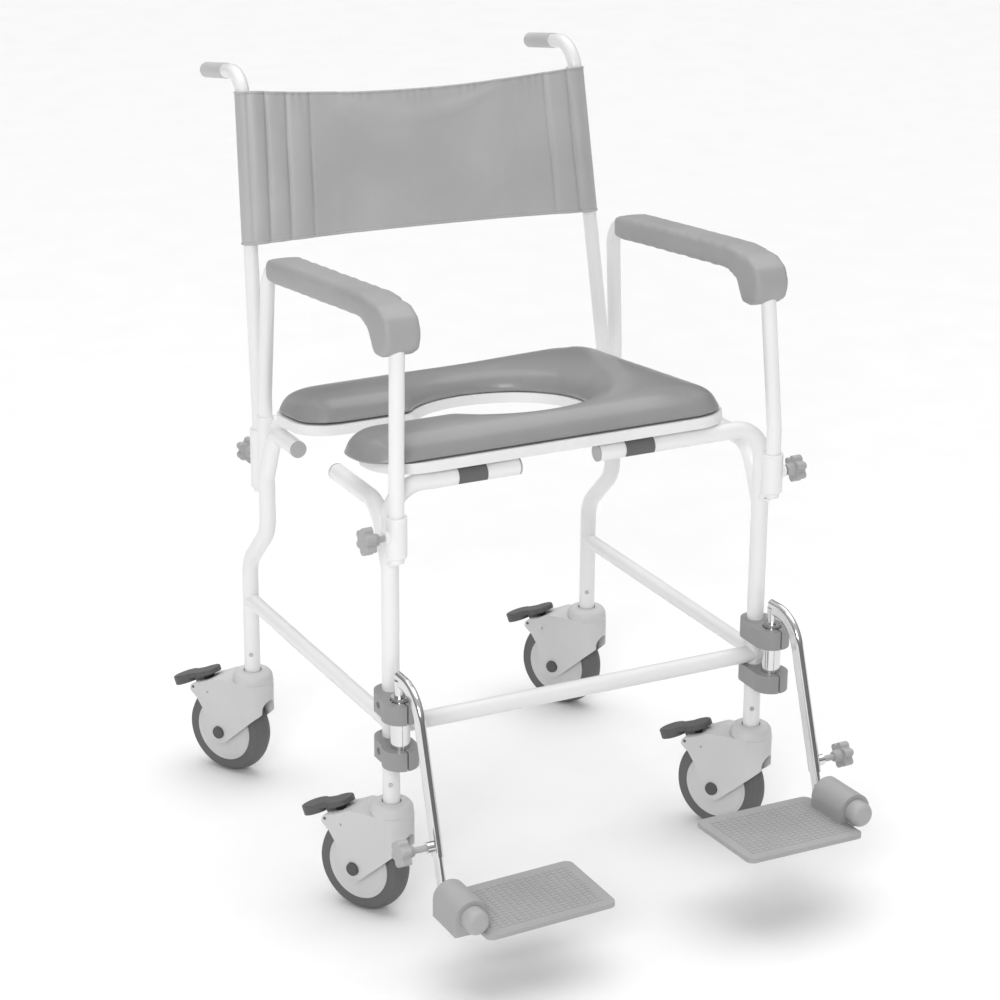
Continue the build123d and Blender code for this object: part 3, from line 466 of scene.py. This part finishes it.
starts = [r * COLUMNS + c for r in range(ROWS - 1) for c in range(COLUMNS - 1)]
faces = [(k, k + 1, k + COLUMNS + 1, k + COLUMNS) for k in starts]
sling_mesh = bpy.data.meshes.new("sling")
sling_mesh.from_pydata(verts, [], faces)
sling = bpy.data.objects.new("sling", sling_mesh)
scene.collection.objects.link(sling)
xs = coordinates(sling_mesh)[:, 0]
puff(sling, 0.0, 0.0015, np.abs(xs) > HELD_FROM, gravity=0.15)
points = coordinates(sling.data).reshape(ROWS, COLUMNS, 3)
for name, row in (("sling_top_hem", ROWS - 1), ("sling_bottom_hem", 0)):
    curve = bpy.data.curves.new(name, "CURVE")
    curve.dimensions = "3D"
    curve.bevel_depth = HEM_R
    curve.bevel_resolution = 4
    curve.use_fill_caps = True
    line = curve.splines.new("POLY")
    line.points.add(COLUMNS - 1)
    for point, place in zip(line.points, points[row]):
        point.co = (*place, 1)
    hem = bpy.data.objects.new(name, curve)
    scene.collection.objects.link(hem)
    mesh = bpy.data.meshes.new_from_object(hem.evaluated_get(bpy.context.evaluated_depsgraph_get()))
    bpy.data.objects.remove(hem)
    hem = bpy.data.objects.new(name, mesh)
    scene.collection.objects.link(hem)
    mesh.materials.clear()
    mesh.materials.append(looks["sling_vinyl"])
    for face in mesh.polygons:
        face.use_smooth = True
    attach(hem, "backrest")
shell = sling.modifiers.new("shell", "SOLIDIFY")
shell.thickness = SLING_THICK
shell.offset = 0
bake_modifiers(sling)
finish_soft(sling, "sling_vinyl", "backrest", "backrest_sling", 0)

# Footplate tread: small raised blocks inside a plain margin
TILE = (0.0066, 0.0046, 0.0008)     # across, along, high
PITCH = (0.0088, 0.0066)
MARGIN = 0.011
TILE_TOP = 0.84                     # a block's top against its foot
TILE_ROOT = 0.0002                  # how far a block goes into the plate
SQUARE = ((-1, -1), (1, -1), (1, 1), (-1, 1))
for side, sign in (("left", -1), ("right", 1)):
    copy = nodes[f"footplate_{side}"].data.copy()
    copy.transform(nodes[f"footplate_{side}"].matrix_world)
    normal, spot = main_face(copy)
    hinge = next(j for j in frame["joints"] if j["name"] == f"footplate_flip_{side}")
    along = Vector(hinge["axis"]) * sign
    along = (along - normal * along.dot(normal)).normalized()      # rearwards, in the plate
    across = along.cross(normal).normalized()
    top = [v.co for v in copy.vertices if abs((v.co - spot).dot(normal)) < 0.0003]
    lows = [min((p - spot).dot(d) for p in top) + MARGIN for d in (across, along)]
    highs = [max((p - spot).dot(d) for p in top) - MARGIN for d in (across, along)]
    tread_mesh = bpy.data.meshes.new(f"tread_{side}")
    shape = bmesh.new()
    counts = [int((high - low) / pitch) for low, high, pitch in zip(lows, highs, PITCH)]
    starts = [(low + high - (n - 1) * pitch) / 2
              for low, high, n, pitch in zip(lows, highs, counts, PITCH)]
    for i in range(counts[0]):
        for j in range(counts[1]):
            middle = spot + across * (starts[0] + i * PITCH[0]) + along * (starts[1] + j * PITCH[1])
            rings = []
            for size, lift in ((1.0, -TILE_ROOT), (1.0, TILE[2] * 0.5), (TILE_TOP, TILE[2])):
                rings.append([shape.verts.new(middle + across * (a * TILE[0] * size / 2)
                                              + along * (b * TILE[1] * size / 2) + normal * lift)
                              for a, b in SQUARE])
            for low_ring, high_ring in zip(rings, rings[1:]):
                for k in range(4):
                    after = (k + 1) % 4
                    shape.faces.new((low_ring[k], low_ring[after], high_ring[after], high_ring[k]))
            shape.faces.new(rings[-1])
            shape.faces.new(reversed(rings[0]))
    bmesh.ops.recalc_face_normals(shape, faces=shape.faces)
    shape.to_mesh(tread_mesh)
    shape.free()
    bpy.data.meshes.remove(copy)
    tread_mesh.materials.append(looks["footplate_plastic"])
    tread = bpy.data.objects.new(f"tread_{side}", tread_mesh)
    scene.collection.objects.link(tread)
    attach(tread, f"footplate_{side}")

# ---------------------------------------------------------------- floor and finish
FLOOR_HALF = 12.0
floor_mesh = bpy.data.meshes.new("floor")
floor_mesh.from_pydata([(x * FLOOR_HALF, y * FLOOR_HALF, 0) for x, y in SQUARE], [], [(0, 1, 2, 3)])
floor = bpy.data.objects.new("floor", floor_mesh)
scene.collection.objects.link(floor)
floor_mesh.materials.append(material("floor", (0.92, 0.92, 0.92), 0.7, shade=0.01))
floor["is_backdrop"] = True

low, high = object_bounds()
